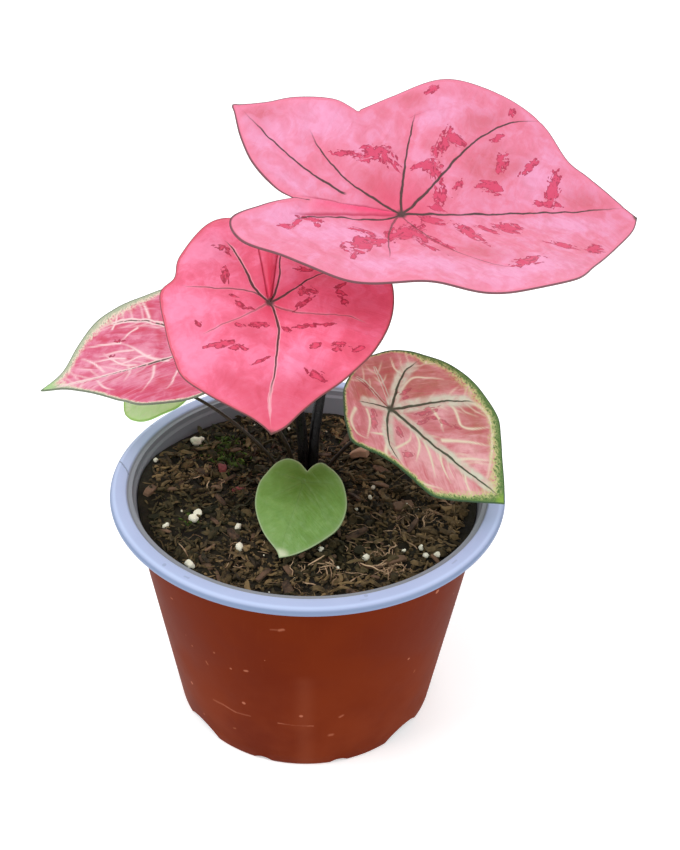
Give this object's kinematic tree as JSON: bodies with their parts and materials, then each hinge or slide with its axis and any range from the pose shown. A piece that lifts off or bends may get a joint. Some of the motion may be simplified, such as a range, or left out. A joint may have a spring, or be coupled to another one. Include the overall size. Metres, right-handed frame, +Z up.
{
  "type": "potted caladium",
  "caption": "Young caladium with heart-shaped pink leaves on slender stalks, growing in soil in a tapered two-colour nursery pot with a flat rim.",
  "frame": {"origin": "on the pot's axis, on the flat face under its floor that it stands on", "axes": "+Z up the pot's axis, -Y towards the young leaf in front of the stalks, +X towards the tip of the top leaf"},
  "size_m": [0.2189, 0.15, 0.2385],
  "materials": {
    "pot_shell": "satin",
    "pot_lining": "satin",
    "soil": "matte",
    "tuber": "matte",
    "dark_petiole": "satin",
    "left_petiole": "satin",
    "right_petiole": "satin",
    "young_petiole": "satin",
    "rear_petiole": "satin",
    "top_blade": "satin",
    "front_blade": "satin",
    "left_blade": "satin",
    "right_blade": "satin",
    "young_blade": "satin",
    "rear_blade": "satin"
  },
  "bodies": {
    "root": {"pot_shell": "pot_shell", "pot_lining": "pot_lining", "soil": "soil", "tuber": "tuber", "petiole_top": "dark_petiole", "petiole_front": "dark_petiole", "petiole_left": "left_petiole", "petiole_right": "right_petiole", "petiole_young": "young_petiole", "petiole_rear": "rear_petiole", "blade_top": "top_blade", "blade_front": "front_blade", "blade_left": "left_blade", "blade_right": "right_blade", "blade_young": "young_blade", "blade_rear": "rear_blade"}
  },
  "joints": []
}
